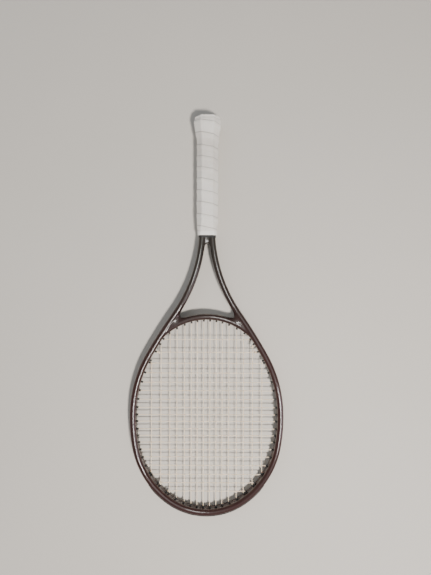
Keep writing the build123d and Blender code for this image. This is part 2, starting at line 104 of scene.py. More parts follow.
def grid_faces(rows, columns, closed):
    """Quads over a grid of points, closed round the columns or open."""
    faces = []
    for row in range(rows - 1):
        for column in range(columns if closed else columns - 1):
            after = (column + 1) % columns
            start, above = row * columns, (row + 1) * columns
            faces.append((start + column, start + after, above + after, above + column))
    return faces


def tube(path, ring):
    """Points and faces of a ring carried along a path, its two ends closed."""
    path = np.asarray(path, float)
    ahead = np.gradient(path, axis=0)
    ahead /= np.linalg.norm(ahead, axis=1)[:, None]
    side = np.cross(ahead[0], (0.3, 0.2, 1.0))
    points = []
    for place, way in zip(path, ahead):
        side -= way * side.dot(way)
        side /= np.linalg.norm(side)
        other = np.cross(way, side)
        points += [place + side * u + other * v for u, v in ring]
    count = len(ring)
    faces = grid_faces(len(path), count, True)
    last = len(points) - count
    faces += [tuple(range(count))[::-1], tuple(range(last, last + count))]
    return np.array(points), faces


def round_ring(radius, count):
    return [(radius * cos(tau * i / count), radius * sin(tau * i / count)) for i in range(count)]


def joined(parts):
    """Several (points, faces) as one."""
    points, faces, start = [], [], 0
    for part_points, part_faces in parts:
        points.append(part_points)
        faces += [tuple(start + index for index in face) for face in part_faces]
        start += len(part_points)
    return np.concatenate(points), faces


# ---- the line of the frame ---------------------------------------------------------------

def stretches(start, moves):
    """Tangent arcs and straights: (from, length, point, heading, radius, turn in radians)."""
    point, heading, along, rows = np.array(start, float), 0.0, 0.0, []
    for size, turn in moves:
        turn = radians(turn)
        length = size * abs(turn) if turn else size
        rows.append((along, length, point, heading, size, turn))
        if turn:
            way = np.sign(turn)
            centre = point + size * way * np.array([-sin(heading), cos(heading)])
            heading += turn
            point = centre + size * way * np.array([sin(heading), -cos(heading)])
        else:
            point = point + length * np.array([cos(heading), sin(heading)])
        along += length
    return rows


def place_on(rows, along):
    """Point and left-hand direction at a distance along the line."""
    for start, length, point, heading, size, turn in rows:
        if along <= start + length:
            break
    part = along - start
    if not turn:
        return point + part * np.array([cos(heading), sin(heading)]), np.array([-sin(heading), cos(heading)])
    way = np.sign(turn)
    centre = point + size * way * np.array([-sin(heading), cos(heading)])
    heading = heading + turn * part / length
    left = np.array([-sin(heading), cos(heading)])
    return centre - size * way * left, left


def offsets(flat, rows):
    """Distance to the left of the line, along it and past its end, the last negative before the end."""
    left = np.full(len(flat), 500.0)
    along = np.zeros(len(flat))
    past = np.full(len(flat), -500.0)
    total = rows[-1][0] + rows[-1][1]
    for start, length, point, heading, size, turn in rows:
        if turn:
            way = np.sign(turn)
            centre = point + size * way * np.array([-sin(heading), cos(heading)])
            arm = flat - centre
            reach = np.hypot(arm[:, 0], arm[:, 1])
            angle = np.arctan2(arm[:, 1], arm[:, 0]) - (heading - way * pi / 2)
            angle = (angle * way + pi) % tau - pi
            part, sideways = angle * size, way * (size - reach)
        else:
            ahead = np.array([cos(heading), sin(heading)])
            arm = flat - point
            part = arm @ ahead
            sideways = arm @ np.array([-ahead[1], ahead[0]])
        is_last = start + length > total - 0.01
        inside = (part > -0.5) & ((part < length + 0.5) | is_last)
        near = inside & (np.abs(sideways) < np.abs(left))
        left[near] = sideways[near]
        along[near] = start + part[near]
        past[near] = start + part[near] - total
    return left, along, past


def end_of(rows):
    return place_on(rows, rows[-1][0] + rows[-1][1])[0]


frame_moves = hoop_arcs + [throat_arc] + leg_moves
leg_straight = end_of(stretches((0, tip_line_y), frame_moves))[1] - leg_end_y
hoop_rows = stretches((0, tip_line_y), frame_moves + [(leg_straight, 0)])
bridge_rows = stretches((0, bridge_y), [(bridge_radius, bridge_half_angle)])
leg_end = hoop_rows[-1][0] + hoop_rows[-1][1]


# ---- the moulded frame: hoop, shafts and bridge as one smooth surface -------------------------

def smooth_min(a, b, reach):
    near = np.maximum(reach - np.abs(a - b), 0) / reach
    return np.minimum(a, b) - near * near * reach / 4


def smooth_max(a, b, reach):
    return -smooth_min(-a, -b, reach)


def eased(value):
    value = np.clip(value, 0, 1)
    return value * value * (3 - 2 * value)


def rounded_section(u, z, width, height, corner):
    """Distance from the outside of a rounded rectangle, negative inside."""
    beyond_u = np.abs(u) - (width / 2 - corner)
    beyond_z = np.abs(z) - (height / 2 - corner)
    outside = np.hypot(np.maximum(beyond_u, 0), np.maximum(beyond_z, 0))
    return outside + np.minimum(np.maximum(beyond_u, beyond_z), 0) - corner


def capped(section, past):
    """A section's distance, closed off square past the end of its line."""
    outside = np.hypot(np.maximum(section, 0), np.maximum(past, 0))
    return outside + np.minimum(np.maximum(section, past), 0)


def groove(left, z, along, floor, fade_from, fade_to):
    """Distance from the string groove, which runs out between two places along the line."""
    fade = eased((along - fade_from) / (fade_to - fade_from))
    return np.maximum(floor + fade * 4.0 - left, np.abs(z) - groove_width / 2)


def frame_distance(points):
    """Distance from the surface of the moulded frame, negative inside it."""
    flat = np.column_stack([np.abs(points[:, 0]), points[:, 1]])
    z = points[:, 2]
    left, along, past = offsets(flat, hoop_rows)
    tube_body = capped(rounded_section(left, z, tube_width, tube_height, tube_corner), past)
    middle = (web_start + crotch_y + crotch_radius) / 2
    half_length = (crotch_y + crotch_radius - web_start) / 2
    sunk = web_drop * eased(1 + (flat[:, 1] - crotch_y) / web_drop_length)
    web = rounded_section(flat[:, 0], z, 2 * web_half_width, 2 * (web_half_height - sunk), web_corner)
    web = np.maximum(web, np.abs(flat[:, 1] - middle) - half_length)
    crotch = crotch_radius - np.hypot(flat[:, 0], flat[:, 1] - crotch_y - crotch_radius)
    body = smooth_min(tube_body, smooth_max(web, crotch, crotch_softness), web_blend)
    up, over, past = offsets(flat, bridge_rows)
    arch = capped(rounded_section(up, z, bridge_width, bridge_height, bridge_corner), past)
    fairing = corner_fairing(left, np.where(past > 0, np.hypot(up, past), up), z)
    body = smooth_min(smooth_min(body, arch, bridge_blend), fairing, fairing_blend)
    body = smooth_max(body, -groove(left, z, along, groove_floor, *groove_fade), groove_edge)
    bridge_groove = groove(-up, z, over, bridge_floor, bridge_groove_end, bridge_groove_end + bridge_groove_fade)
    return smooth_max(body, -bridge_groove, groove_edge)


def corner_fairing(left, up, z):
    """The moulded fillet, seen from above, where the bridge's underside runs into a shaft."""
    inside_hoop = np.maximum(-left - tube_width / 2, left)
    under_bridge = np.maximum(-up - bridge_width / 2, up)
    weight = eased(0.5 - up / bridge_width) * eased(0.5 - left / tube_width)
    plan = smooth_min(inside_hoop, under_bridge, fairing_reach * weight + 0.01)
    return rounded_section(plan + tube_width / 2 + fairing_inset, z, tube_width, bridge_height, bridge_corner)


def slope(points, step=0.03):
    """The shift that raises the distance by one, at each point."""
    rows = []
    for axis in range(3):
        move = np.zeros(3)
        move[axis] = step
        rows.append(frame_distance(points + move) - frame_distance(points - move))
    rise = np.column_stack(rows) / (2 * step)
    return rise / np.maximum((rise * rise).sum(axis=1), 0.25)[:, None]


def settle(points, rounds):
    """Moves points onto the frame's surface."""
    for _ in range(rounds):
        away = np.clip(frame_distance(points), -1.0, 1.0)
        points = points - away[:, None] * slope(points)
    return points


def section_ring(width, height, corner, groove_depth):
    """A rounded rectangle with the string groove in its outer side."""
    ring = []
    for quarter in range(4):
        for step in range(6):
            angle = pi / 2 * (quarter + step / 5)
            u = (width / 2 - corner) * (1 if quarter in (0, 3) else -1) + corner * cos(angle)
            z = (height / 2 - corner) * (1 if quarter < 2 else -1) + corner * sin(angle)
            ring.append((u, z))
    half, inner = groove_width / 2, width / 2 - groove_depth
    return ring + [(width / 2, -half), (inner, -half), (inner, half), (width / 2, half)]


def rough_sweep(rows, end, ring_at, side):
    """A flat-lying sweep along the line and its mirrored half, as one closed tube."""
    right = []
    for along in np.linspace(0, end, int(end / rough_step)):
        place, left = place_on(rows, along)
        right.append([(*(place + left * side * u), z) for u, z in ring_at(along)])
    mirrored = [[(-x, y, z) for x, y, z in ring] for ring in right[:0:-1]]
    rings = mirrored + right
    size = len(rings[0])
    faces = grid_faces(len(rings), size, True)
    last = (len(rings) - 1) * size
    faces += [tuple(range(size))[::-1], tuple(range(last, last + size))]
    return np.array([point for ring in rings for point in ring]), faces


def hoop_ring(along):
    fade = float(eased((along - groove_fade[0]) / (groove_fade[1] - groove_fade[0])))
    depth = (tube_width / 2 - groove_floor) * (1 - fade) + 0.01
    return section_ring(tube_width, tube_height, tube_corner, depth)


def fillet_blocks():
    """A rough wedge in each corner between the bridge and a shaft, for the fairing to be cut from."""
    edge = []
    for angle in np.linspace(0, radians(bridge_half_angle), 200):
        reach = bridge_radius + bridge_width / 2
        edge.append((reach * sin(angle), bridge_y + bridge_radius - reach * cos(angle)))
    edge = np.array(edge)
    gap = -offsets(edge, hoop_rows)[0] - tube_width / 2
    on_bridge = edge[np.argmin(np.abs(gap - fairing_reach / fairing_corner_share))]
    corner = edge[np.argmin(np.abs(gap))]
    shaft = np.array([place_on(hoop_rows, along) for along in np.arange(390.0, 520.0, 0.5)])
    inner = shaft[:, 0] - shaft[:, 1] * tube_width / 2
    reach = np.hypot(inner[:, 0], inner[:, 1] - bridge_y - bridge_radius) - bridge_radius - bridge_width / 2
    low = inner[:, 1] < corner[1]
    on_shaft = inner[low][np.argmin(np.abs(reach[low] - fairing_reach / fairing_corner_share))]
    plan = np.array([on_bridge, on_shaft, corner + (2.0, 6.0)])
    parts = []
    for side in (1, -1):
        points = [(x * side, y, z) for z in (-bridge_height / 2 + 1, bridge_height / 2 - 1) for x, y in plan]
        faces = [(0, 1, 2), (5, 4, 3), (0, 3, 4, 1), (1, 4, 5, 2), (2, 5, 3, 0)]
        parts.append((np.array(points), [face[::side] for face in faces]))
    return parts


def block(low, high):
    corners = [(x, y, z) for x in (low[0], high[0]) for y in (low[1], high[1]) for z in (low[2], high[2])]
    faces = [(0, 1, 3, 2), (4, 6, 7, 5), (0, 4, 5, 1), (2, 3, 7, 6), (0, 2, 6, 4), (1, 5, 7, 3)]
    return np.array(corners, float), faces


def mesh_points(mesh):
    points = np.empty(len(mesh.vertices) * 3)
    mesh.vertices.foreach_get("co", points)
    return points.reshape(-1, 3) / MM


def relaxed(points, mesh, rounds):
    """Evens the mesh out: each point moves half way to its neighbours' middle, and settles again."""
    count = len(points)
    ends = np.empty(len(mesh.edges) * 2, int)
    mesh.edges.foreach_get("vertices", ends)
    a, b = ends.reshape(-1, 2).T
    links = np.bincount(a, minlength=count) + np.bincount(b, minlength=count)
    for _ in range(rounds):
        total = np.column_stack([
            np.bincount(a, points[b, k], count) + np.bincount(b, points[a, k], count) for k in range(3)
        ])
        points = settle(0.5 * points + 0.5 * total / links[:, None], 2)
    return points


def moulded_frame():
    """The frame as a fine even mesh, settled onto its smooth surface."""
    def bridge_ring(along):
        depth = bridge_width / 2 - bridge_floor if along < bridge_groove_end else 0.01
        return section_ring(bridge_width, bridge_height, bridge_corner, depth)

    parts = [
        rough_sweep(hoop_rows, leg_end, hoop_ring, 1),
        rough_sweep(bridge_rows, bridge_rows[-1][1], bridge_ring, -1),
        block((-web_half_width, web_start, -web_half_height), (web_half_width, crotch_y, web_half_height)),
        *fillet_blocks(),
    ]
    obj = piece("moulded_frame", *joined(parts))
    remesh = obj.modifiers.new("remesh", "REMESH")
    remesh.mode = "VOXEL"
    remesh.voxel_size = fine_voxel * MM
    bpy.context.view_layer.update()
    fine = bpy.data.meshes.new_from_object(obj.evaluated_get(bpy.context.evaluated_depsgraph_get()))
    obj.modifiers.clear()
    obj.data = fine
    points = relaxed(settle(mesh_points(fine), 7), fine, 3)
    fine.vertices.foreach_set("co", (points * MM).ravel())
    fine.polygons.foreach_set("use_smooth", [True] * len(fine.polygons))
    fine.update()
    return obj


def tapered_bumper():
    """The bumper guard with its two ends thinned down to the tube's outside."""
    mesh = frame["nodes"]["bumper_guard"].data
    points = mesh_points(mesh)
    left, along, _ = offsets(np.column_stack([np.abs(points[:, 0]), points[:, 1]]), hoop_rows)
    skin = tube_width / 2 - bumper_sunk
    outer = left > skin
    kept = eased((along[outer].max() - along) / bumper_taper)
    inward = np.where(outer, (left - skin) * (1 - kept), 0.0)
    for index in np.flatnonzero(inward > 0.01):
        outside = place_on(hoop_rows, along[index])[1]
        points[index, 0] -= outside[0] * inward[index] * np.sign(points[index, 0])
        points[index, 1] -= outside[1] * inward[index]
    obj = piece("bumper_strip", points, [tuple(polygon.vertices) for polygon in mesh.polygons])
    obj.data.polygons.foreach_set("use_smooth", [polygon.use_smooth for polygon in mesh.polygons])
    return obj


# ---- materials --------------------------------------------------------------------------------

def srgb(red, green, blue, alpha=1.0):
    """A colour given as it looks on a screen, 0 to 255, in linear light."""
    return tuple(((value / 255 + 0.055) / 1.055) ** 2.4 for value in (red, green, blue)) + (alpha,)


class Finish:
    """A procedural material on one Principled shader."""

    def __init__(self, name, **values):
        self.material = bpy.data.materials.new(name)
        self.material.use_nodes = True
        self.tree = self.material.node_tree
        self.shader = self.tree.nodes["Principled BSDF"]
        self.place = self.node("ShaderNodeTexCoord").outputs["Object"]
        for key, value in values.items():
            self.shader.inputs[key.replace("_", " ")].default_value = value

    def node(self, kind, links=None, **settings):
        node = self.tree.nodes.new(kind)
        for key, value in settings.items():
            setattr(node, key, value)
        for key, value in (links or {}).items():
            if isinstance(value, bpy.types.NodeSocket):
                self.tree.links.new(value, node.inputs[key])
            else:
                node.inputs[key].default_value = value
        return node

    def stretched(self, scale):
        return self.node("ShaderNodeMapping", {"Vector": self.place, "Scale": scale}).outputs[0]

    def noise(self, scale, detail=3.0, stretch=(1, 1, 1), roughness=0.5):
        links = {"Vector": self.stretched(stretch), "Scale": scale, "Detail": detail, "Roughness": roughness}
        return self.node("ShaderNodeTexNoise", links).outputs["Fac"]

    def cells(self, scale, stretch=(1, 1, 1)):
        links = {"Vector": self.stretched(stretch), "Scale": scale}
        return self.node("ShaderNodeTexVoronoi", links).outputs["Distance"]

    def along(self, axis):
        return self.node("ShaderNodeSeparateXYZ", {0: self.place}).outputs[axis]

    def spread(self, value, low, high, new_low, new_high):
        links = {0: value, 1: low, 2: high, 3: new_low, 4: new_high}
        return self.node("ShaderNodeMapRange", links).outputs[0]

    def maths(self, operation, first, second):
        return self.node("ShaderNodeMath", {0: first, 1: second}, operation=operation).outputs[0]

    def ramp(self, value, stops):
        node = self.node("ShaderNodeValToRGB", {0: value})
        elements = node.color_ramp.elements
        while len(elements) < len(stops):
            elements.new(1.0)
        for element, (position, colour) in zip(elements, stops):
            element.position, element.color = position, colour
        return node.outputs[0]

    def blend(self, factor, first, second):
        node = self.node("ShaderNodeMix", data_type="RGBA")
        for index, value in ((0, factor), (6, first), (7, second)):
            if isinstance(value, bpy.types.NodeSocket):
                self.tree.links.new(value, node.inputs[index])
            else:
                node.inputs[index].default_value = value
        return node.outputs[2]

    def paint(self, colour):
        self.tree.links.new(colour, self.shader.inputs["Base Color"])

    def shine(self, value, low, high):
        """Roughness between two values, by a texture's value from 0 to 1."""
        self.tree.links.new(self.spread(value, 0.3, 0.7, low, high), self.shader.inputs["Roughness"])

    def bump(self, height, depth, strength=1.0):
        """Relief of this depth in millimetres."""
        node = self.node("ShaderNodeBump", {"Height": height, "Distance": depth * MM, "Strength": strength})
        self.tree.links.new(node.outputs[0], self.shader.inputs["Normal"])


def frame_lacquer():
    """Clear-coated dark moulding: olive grey at the throat, wine brown round the head."""
    finish = Finish("frame_lacquer", Coat_Weight=1.0, Coat_Roughness=0.08, Coat_IOR=1.5)
    finish.shader.inputs["Specular IOR Level"].default_value = 0.15
    fade = finish.spread(finish.along("Y"), 0.24, 0.42, 0.0, 1.0)
    drift = finish.noise(14, 2.0)
    base = finish.ramp(fade, [(0.0, srgb(44, 39, 33)), (0.5, srgb(50, 32, 27)), (1.0, srgb(54, 25, 22))])
    deep = finish.ramp(fade, [(0.0, srgb(31, 27, 24)), (1.0, srgb(38, 18, 17))])
    tone = finish.blend(drift, deep, base)
    fibres = finish.noise(900, 2.0, (1, 0.06, 1))
    finish.paint(finish.blend(finish.spread(fibres, 0.5, 0.75, 0.0, 0.35), tone, srgb(72, 55, 50)))
    finish.shine(finish.noise(60, 4.0), 0.34, 0.5)
    finish.bump(finish.noise(160, 2.0), 0.02, 0.35)
    return finish.material


def black_nylon():
    """Moulded nylon, fine grained, greyer where it is scuffed."""
    finish = Finish("black_nylon", IOR=1.5)
    scuffs = finish.spread(finish.noise(240, 5.0, (1, 1, 0.4), 0.7), 0.56, 0.72, 0.0, 1.0)
    finish.paint(finish.blend(scuffs, srgb(27, 25, 25), srgb(58, 54, 52)))
    finish.shine(finish.noise(300, 3.0), 0.38, 0.6)
    finish.bump(finish.noise(2600, 3.0), 0.05, 0.5)
    return finish.material


def string_finish():
    """Cream multifilament string under a clear sleeve, with the fibres showing through."""
    finish = Finish("string", Coat_Weight=0.5, Coat_Roughness=0.2, IOR=1.5)
    finish.shader.inputs["Subsurface Weight"].default_value = 0.15
    finish.shader.inputs["Subsurface Radius"].default_value = (0.0012, 0.0009, 0.0006)
    patches = finish.noise(35, 3.0)
    body = finish.blend(patches, srgb(244, 221, 190), srgb(250, 236, 214))
    fibres = finish.noise(2500, 2.0, (1, 1, 1))
    finish.paint(finish.blend(finish.spread(fibres, 0.45, 0.8, 0.0, 0.5), body, srgb(226, 190, 152)))
    finish.shine(patches, 0.3, 0.45)
    finish.bump(fibres, 0.03, 0.5)
    return finish.material


def overgrip_tape():
    """Dry felted tape: fine nap, a few handled patches, and painted shade darkening the step by each seam."""
    finish = Finish("overgrip_tape", Sheen_Weight=0.25, Sheen_Roughness=0.5, IOR=1.45)
    finish.shader.inputs["Subsurface Weight"].default_value = 0.08
    finish.shader.inputs["Subsurface Radius"].default_value = (0.002, 0.0015, 0.001)
    handled = finish.spread(finish.noise(28, 4.0, (1, 0.6, 1)), 0.45, 0.72, 0.0, 0.8)
    clean = finish.blend(finish.noise(900, 3.0), srgb(222, 219, 214), srgb(236, 233, 228))
    tone = finish.blend(handled, clean, srgb(206, 200, 193))
    # painted shade: the seam_shade attribute darkens the tape in the step by each seam, unevenly along it
    by_seam = finish.node("ShaderNodeAttribute", attribute_name="seam_shade").outputs["Fac"]
    painted_seam_shade = finish.maths("MULTIPLY", by_seam, finish.spread(finish.noise(45, 2.0), 0.3, 0.7, 0.45, 1.0))
    finish.paint(finish.blend(finish.spread(painted_seam_shade, 0.0, 1.0, 0.0, 0.75), tone, srgb(122, 114, 106)))
    finish.shine(finish.noise(220, 3.0), 0.55, 0.78)
    nap = finish.maths("ADD", finish.noise(3200, 3.0), finish.cells(950))
    finish.bump(nap, 0.06, 0.55)
    return finish.material


def finishing_tape_vinyl():
    finish = Finish("finishing_tape", Coat_Weight=0.3, Coat_Roughness=0.25)
    finish.paint(finish.blend(finish.noise(70, 3.0), srgb(232, 230, 226), srgb(246, 245, 242)))
    finish.shine(finish.noise(180, 3.0), 0.3, 0.45)
    finish.bump(finish.noise(420, 2.0), 0.05, 0.4)
    return finish.material


def collar_rubber():
    finish = Finish("collar_rubber", IOR=1.5)
    finish.paint(finish.blend(finish.noise(150, 3.0), srgb(20, 20, 21), srgb(36, 35, 35)))
    finish.shine(finish.noise(260, 3.0), 0.5, 0.72)
    finish.bump(finish.noise(1800, 3.0), 0.04, 0.5)
    return finish.material


def cap_plastic():
    """Spark-grained polypropylene."""
    finish = Finish("cap_plastic", IOR=1.49)
    finish.paint(finish.blend(finish.noise(90, 3.0), srgb(34, 34, 35), srgb(50, 50, 51)))
    finish.shine(finish.noise(500, 3.0), 0.42, 0.6)
    finish.bump(finish.cells(1500), 0.08, 0.6)
    return finish.material


def badge_plastic():
    finish = Finish("badge_plastic", Metallic=0.6, Coat_Weight=1.0, Coat_Roughness=0.08)
    finish.paint(finish.blend(finish.noise(120, 2.0), srgb(128, 128, 130), srgb(152, 152, 154)))
    finish.shine(finish.noise(600, 3.0, (1, 1, 0.05)), 0.25, 0.4)
    finish.bump(finish.noise(900, 2.0, (1, 1, 0.05)), 0.02, 0.4)
    return finish.material


def staple_steel():
    finish = Finish("staple_steel", Metallic=1.0)
    finish.paint(finish.blend(finish.noise(300, 3.0), srgb(176, 176, 178), srgb(205, 205, 206)))
    finish.shine(finish.noise(800, 3.0, (0.1, 1, 1)), 0.25, 0.42)
    return finish.material


def handle_foam():
    """Skinned structural foam with fine pores."""
    finish = Finish("handle_foam", IOR=1.45)
    pores = finish.cells(700)
    skin = finish.spread(pores, 0.1, 0.5, 0.0, 1.0)
    finish.paint(finish.blend(skin, srgb(160, 148, 120), srgb(206, 196, 170)))
    finish.shine(finish.noise(200, 3.0), 0.6, 0.85)
    finish.bump(pores, 0.15, 0.6)
    return finish.material


def grip_leather():
    """Black synthetic leather, grained."""
    finish = Finish("grip_leather", IOR=1.5)
    grain = finish.cells(650)
    finish.paint(finish.blend(finish.noise(120, 3.0), srgb(30, 28, 27), srgb(46, 43, 41)))
    finish.shine(finish.noise(300, 3.0), 0.45, 0.65)
    finish.bump(grain, 0.12, 0.6)
    return finish.material


finishes = {
    "frame_lacquer": frame_lacquer(), "black_nylon": black_nylon(), "string": string_finish(),
    "overgrip_tape": overgrip_tape(), "finishing_tape": finishing_tape_vinyl(),
    "collar_rubber": collar_rubber(), "cap_plastic": cap_plastic(), "badge_plastic": badge_plastic(),
    "staple_steel": staple_steel(), "handle_foam": handle_foam(), "grip_leather": grip_leather(),
}


def finished(obj, slot_name, *replaced):
    """Gives a piece its material and slot, and hides the nodes that it stands for."""
    obj.data.materials.clear()
    obj.data.materials.append(finishes[slot_name])
    if replaced:
        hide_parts(*replaced)
    return obj


# ---- handle -------------------------------------------------------------------------------------

def softened(values, width, axis, closed):
    """A running average with a bell-shaped weight, over this many neighbours each way."""
    weights = np.exp(-2.0 * (np.arange(-width, width + 1) / width) ** 2)
    weights /= weights.sum()
    pad = [(0, 0)] * values.ndim
    pad[axis] = (width, width)
    padded = np.pad(values, pad, "wrap" if closed else "edge")
    return np.apply_along_axis(lambda line: np.convolve(line, weights, "valid"), axis, padded)


def outline(node, places, count):
    """How far the node's outside is from the handle's axis, at each place and angle."""
    mesh = frame["nodes"][node].data
    corners = [vertex.co / MM for vertex in mesh.vertices]
    tree = BVHTree.FromPolygons(corners, [tuple(polygon.vertices) for polygon in mesh.polygons])
    reach = 60.0
    rows = []
    for y in places:
        row = []
        for step in range(count):
            way = Vector((cos(tau * step / count), 0, sin(tau * step / count)))
            hit = tree.ray_cast(Vector((0, y, 0)) + way * reach, -way)
            row.append(reach - hit[3] if hit[0] is not None else np.nan)
        rows.append(row)
    rows = np.array(rows)
    for row in rows:
        missed = np.isnan(row)
        if missed.any() and not missed.all():
            row[missed] = np.interp(np.flatnonzero(missed), np.flatnonzero(~missed), row[~missed])
    return rows


def around(radii, y):
    """Points of a ring round the handle."""
    angles = tau * np.arange(len(radii)) / len(radii)
    return np.column_stack([radii * np.cos(angles), np.full(len(radii), y), radii * np.sin(angles)])


around_count = 144
grip_low, grip_high = [corner.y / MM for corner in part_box("overgrip")]
grip_places = np.arange(grip_low + 0.05, grip_high, 1.0)
padding_cover = 0.75                # the tape's outside stands at least this far over the base grip


def wrapped_radii():
    """Outside of the wrapped handle: the plain sleeve's, softened, but clear of what is under it."""
    radii = softened(softened(outline("overgrip", grip_places, around_count), 4, 1, True), 4, 0, False)
    base_low, base_high = [corner.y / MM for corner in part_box("base_grip")]
    covered = (grip_places > base_low) & (grip_places < base_high)
    places = grip_places[covered]
    under = outline("base_grip", places, around_count)
    on_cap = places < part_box("butt_cap")[1].y / MM
    under[on_cap] = np.fmax(under[on_cap], outline("butt_cap", places[on_cap], around_count))
    radii[covered] = np.fmax(radii[covered], under + padding_cover)
    return softened(radii, 1, 1, True)


grip_radii = wrapped_radii()


def grip_radius(y, column):
    """Outside radius of the wrapped handle at places along it and columns round it."""
    place = np.clip((np.asarray(y) - grip_places[0]), 0, len(grip_places) - 1.001)
    low = place.astype(int)
    part = place - low
    column = np.asarray(column) % around_count
    return grip_radii[low, column] * (1 - part) + grip_radii[low + 1, column] * part


# the tape's seams where they cross the middle of the front face
first_seam = 11.9
seam_gaps = [19.9, 21.1, 18.6, 18.6, 19.4, 20.3, 19.5, 21.1, 20.3]
tape_lap = 0.55                     # how much a lap stands up over the wrap below it
tape_sunk = 0.28                    # the single layer lies this far inside the plain sleeve
rim_roll = 1.6                      # radius of the tape's roll over the butt's rim
rim_width = 3.4
rim_start = 1.2                     # the roll starts this many of its radii from the edge
tape_thickness = 0.5
lap_rise, lap_fall = 0.035, (0.2, 0.4)      # shares of a turn's width over which the lap stands up
pressed_from, pressed_depth = 0.93, 0.06    # the tape is pressed in just before the next turn
ripple, crease = 0.05, 0.04         # unevenness of the winding, and of the folds on the flare
rows_across = [0, 0.012, 0.035, 0.08, 0.14, 0.2, 0.25, 0.3, 0.35, 0.4]
rows_across += list(np.linspace(0.46, 0.9, 9)) + [0.94, 0.97, 1.0]
front_turn = 0.25                   # the front face is a quarter turn round from +X


def seam_at(turns):
    """Where the seam runs, for a number of turns round the handle."""
    places = first_seam + np.concatenate([[0], np.cumsum(seam_gaps)])
    numbers = np.arange(len(places)) + front_turn
    low = places[0] + (turns - numbers[0]) * seam_gaps[0]
    high = places[-1] + (turns - numbers[-1]) * seam_gaps[-1]
    inner = np.interp(turns, numbers, places)
    return np.where(turns < numbers[0], low, np.where(turns > numbers[-1], high, inner))


def lap_height(part):
    """Height of the tape across its visible width: up over the lap, then down to one layer."""
    edge = eased(part / lap_rise)
    fall = 1 - eased((part - lap_fall[0]) / (lap_fall[1] - lap_fall[0]))
    pressed = eased((part - pressed_from) / (1 - pressed_from))
    return tape_lap * (0.55 + 0.45 * edge) * fall - pressed_depth * pressed


def seam_shade(part):
    """How much painted shade the tape gets across its visible width: darkest in the step by each seam."""
    return np.maximum(1 - part / 0.03, 0) * 0.6 + eased((part - pressed_from) / 0.05)


def overgrip():
    """The tape wound up the handle, each turn lapping over the last, as one long strip."""
    across = np.array(rows_across)
    turns_from, turns_to = -2, len(seam_gaps) + 2
    columns = np.arange(turns_from * around_count, turns_to * around_count + 1)
    turns = columns / around_count
    lower, upper = seam_at(turns), seam_at(turns + 1)
    y = lower[None, :] * (1 - across[:, None]) + upper[None, :] * across[:, None]
    height = np.broadcast_to(lap_height(across)[:, None], y.shape).copy()
    angle = tau * turns[None, :]
    height += ripple * np.sin(y * 0.9 + 3 * np.sin(angle)) * np.sin(2 * angle + y * 0.21)
    height += crease * np.sin(y * 2.3 - 4 * angle) * eased((35 - y) / 25)
    kept_y = np.clip(y, grip_low, grip_high)
    radius = grip_radius(kept_y, np.broadcast_to(columns[None, :], y.shape)) - tape_sunk + height
    points = np.stack([radius * np.cos(angle), kept_y, radius * np.sin(angle)], axis=-1)
    rows, length = y.shape
    faces = []
    for row in range(rows):
        for column in range(length - 1):
            if row + 1 < rows:
                above, after = (row + 1) * length + column, (row + 1) * length + column + 1
            elif column + 1 + around_count < length:
                above, after = column + around_count, column + 1 + around_count
            else:
                continue
            here, beside = row * length + column, row * length + column + 1
            heights = kept_y.flat[[here, beside, above, after]]
            low, high = heights.min(), heights.max()
            if high - low > 1e-6 and high > grip_low and low < grip_high:
                faces.append((here, above, after, beside))
    shade = np.broadcast_to(seam_shade(across)[:, None], y.shape)
    return points.reshape(-1, 3), faces, shade.ravel()


def used_only(points, faces, shade):
    """The same faces over only the points that they use."""
    used, new = np.unique(np.concatenate([np.array(face) for face in faces]), return_inverse=True)
    return points[used], new.reshape(len(faces), -1).tolist(), shade[used]


def rolled_edge():
    """The tape's first turn, rolled over the butt's rim to the edge of the end face."""
    skin = grip_radii[3] - tape_sunk
    roll_depth = rim_roll * rim_start
    rim = [around(skin - 0.2, grip_low + roll_depth + 2.0)]
    for step in range(9):
        angle = pi / 2 * step / 8
        inward = rim_roll * (1 - cos(angle)) + 0.12
        rim.append(around(skin - inward, grip_low + roll_depth * (1 - sin(angle))))
    rim.append(around(skin - rim_width, grip_low + 0.1))
    return np.concatenate(rim), [face[::-1] for face in grid_faces(len(rim), around_count, True)][::-1]


def overgrip_piece():
    wound_points, wound_faces, wound_shade = used_only(*overgrip())
    points, faces = joined([(wound_points, wound_faces), rolled_edge()])
    obj = piece("overgrip_wrap", points, faces)
    shade = np.zeros(len(points), np.float32)
    shade[: len(wound_shade)] = wound_shade
    # the seam_shade attribute carries the painted shade by the seams to the tape's material
    obj.data.attributes.new("seam_shade", "FLOAT", "POINT").data.foreach_set("value", shade)
    solid = obj.modifiers.new("thickness", "SOLIDIFY")
    solid.thickness = tape_thickness * MM
    solid.offset = -1.0
    finished(obj, "overgrip_tape", "overgrip")
    return obj


def band(name, node, heights, slot_name, softness):
    """A band round the handle in place of a node: (share of its width, height) rows."""
    low, high = [corner.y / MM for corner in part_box(node)]
    count = around_count * 2
    width = high - low
    samples = np.clip([low + share * width for share, _ in heights], low + 0.05, high - 0.05)
    radii = softened(outline(node, samples, count), softness, 1, True)
    rows = [around(row + height, low + share * width) for row, (share, height) in zip(radii, heights)]
    points = np.concatenate(rows + rows[:1])[: len(rows) * count]
    faces = [face[::-1] for face in grid_faces(len(rows), count, True)]
    return finished(piece(name, points, faces), slot_name, node)


# profiles of the two bands: share of the width, height over the plain node
tape_rows = [
    (0.0, -0.9), (0.0, -0.25), (0.02, -0.05), (0.06, 0.02), (0.3, 0.0),
    (0.6, 0.03), (0.9, 0.02), (0.98, -0.05), (1.0, -0.25), (1.0, -1.6),
]
collar_rows = [
    (0.0, -1.2), (0.0, -0.3), (0.06, -0.1), (0.18, 0.0), (0.4, 0.05),
    (0.6, 0.0), (0.8, -0.15), (0.94, -0.35), (1.0, -0.55), (1.0, -1.3),
]

